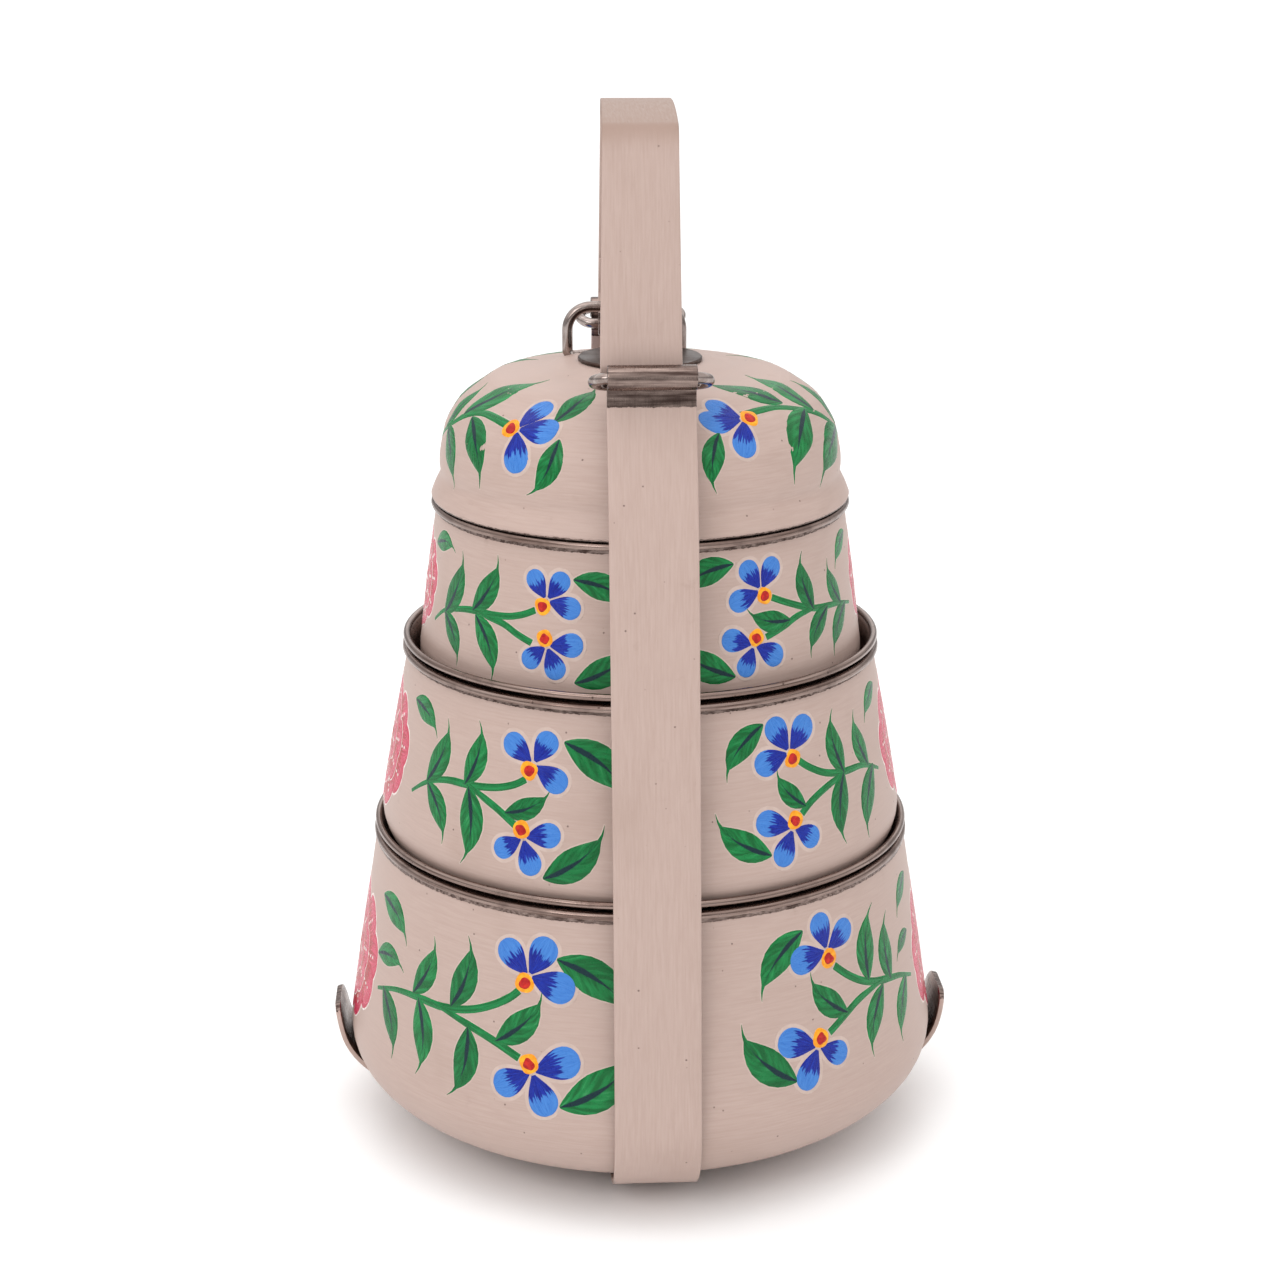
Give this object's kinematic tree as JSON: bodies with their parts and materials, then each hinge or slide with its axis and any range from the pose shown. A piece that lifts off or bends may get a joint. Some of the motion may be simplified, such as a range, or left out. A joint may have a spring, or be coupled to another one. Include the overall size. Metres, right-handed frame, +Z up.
{
  "type": "tiffin carrier",
  "caption": "Stacking food carrier: tapered bowls with inner covers and a domed lid, held in a strap frame with wire links and a swing-over handle.",
  "frame": {"origin": "centre of the long strap's flat underside, on the surface the carrier stands on", "axes": "+Z up; the long strap's uprights stand at -Y (front) and +Y (back); the short strap's ears are at -X and +X"},
  "size_m": [0.169, 0.1642, 0.274],
  "materials": {
    "bowl_paint": "satin hand-painted cream enamel with flowers",
    "strap_paint": "satin hand-painted cream enamel",
    "bare_steel": "bare spun steel, satin",
    "wire_steel": "bare drawn wire, semi-bright"
  },
  "bodies": {
    "carrier_base": {"base_strap": "strap_paint", "cross_strap": "strap_paint", "base_rivet_left": "bare_steel", "base_rivet_right": "bare_steel"},
    "front_upright": {"front_upright": "strap_paint"},
    "back_upright": {"back_upright": "strap_paint"},
    "front_link": {"front_link": "wire_steel"},
    "handle": {"handle_band": "strap_paint", "back_link": "wire_steel"},
    "bottom_bowl": {"bottom_bowl": "bowl_paint"},
    "lower_cover": {"lower_cover": "bare_steel"},
    "middle_bowl": {"middle_bowl": "bowl_paint"},
    "upper_cover": {"upper_cover": "bare_steel"},
    "top_bowl": {"top_bowl": "bowl_paint"},
    "lid": {"lid": "bowl_paint", "lid_disc": "bare_steel"},
    "lid_bail": {"lid_bail": "wire_steel"}
  },
  "joints": [
    {"name": "front_upright_spread", "type": "hinge", "parent": "carrier_base", "child": "front_upright", "pos_m": [0, -0.07308, 0.01087], "axis": [1, 0, 0], "range_deg": [0, 12.1]},
    {"name": "back_upright_spread", "type": "hinge", "parent": "carrier_base", "child": "back_upright", "pos_m": [0, 0.07308, 0.01087], "axis": [-1, 0, 0], "range_deg": [0, 12.1]},
    {"name": "front_link_swing", "type": "hinge", "parent": "front_upright", "child": "front_link", "pos_m": [0, -0.052, 0.2132], "axis": [1, 0, 0], "range_deg": [0, 250.5]},
    {"name": "handle_swing", "type": "hinge", "parent": "back_upright", "child": "handle", "pos_m": [0, 0.052, 0.2132], "axis": [-1, 0, 0], "range_deg": [0, 120]},
    {"name": "bottom_bowl_lift", "type": "slide", "parent": "carrier_base", "child": "bottom_bowl", "axis": [0, 0, 1], "range_m": [0, 0.0102]},
    {"name": "lower_cover_lift", "type": "slide", "parent": "carrier_base", "child": "lower_cover", "axis": [0, 0, 1], "range_m": [0, 0.0222]},
    {"name": "middle_bowl_lift", "type": "slide", "parent": "carrier_base", "child": "middle_bowl", "axis": [0, 0, 1], "range_m": [0, 0.0342]},
    {"name": "upper_cover_lift", "type": "slide", "parent": "carrier_base", "child": "upper_cover", "axis": [0, 0, 1], "range_m": [0, 0.0462]},
    {"name": "top_bowl_lift", "type": "slide", "parent": "carrier_base", "child": "top_bowl", "axis": [0, 0, 1], "range_m": [0, 0.0582]},
    {"name": "lid_lift", "type": "slide", "parent": "carrier_base", "child": "lid", "axis": [0, 0, 1], "range_m": [0, 0.0722]},
    {"name": "lid_bail_fold", "type": "hinge", "parent": "lid", "child": "lid_bail", "pos_m": [-0.0034, 0.0142, 0.2067], "axis": [-1, 0, 0], "range_deg": [0, 40]}
  ],
  "couplings": [
    {"joint": "front_upright_spread", "follows": "handle_swing", "ratio": 0.1},
    {"joint": "back_upright_spread", "follows": "handle_swing", "ratio": 0.1},
    {"joint": "front_link_swing", "follows": "handle_swing", "ratio": 2.0833},
    {"joint": "bottom_bowl_lift", "follows": "handle_swing", "m_per_rad": 0.004775},
    {"joint": "lower_cover_lift", "follows": "handle_swing", "m_per_rad": 0.010504},
    {"joint": "middle_bowl_lift", "follows": "handle_swing", "m_per_rad": 0.016234},
    {"joint": "upper_cover_lift", "follows": "handle_swing", "m_per_rad": 0.021963},
    {"joint": "top_bowl_lift", "follows": "handle_swing", "m_per_rad": 0.027693},
    {"joint": "lid_lift", "follows": "handle_swing", "m_per_rad": 0.034377}
  ]
}
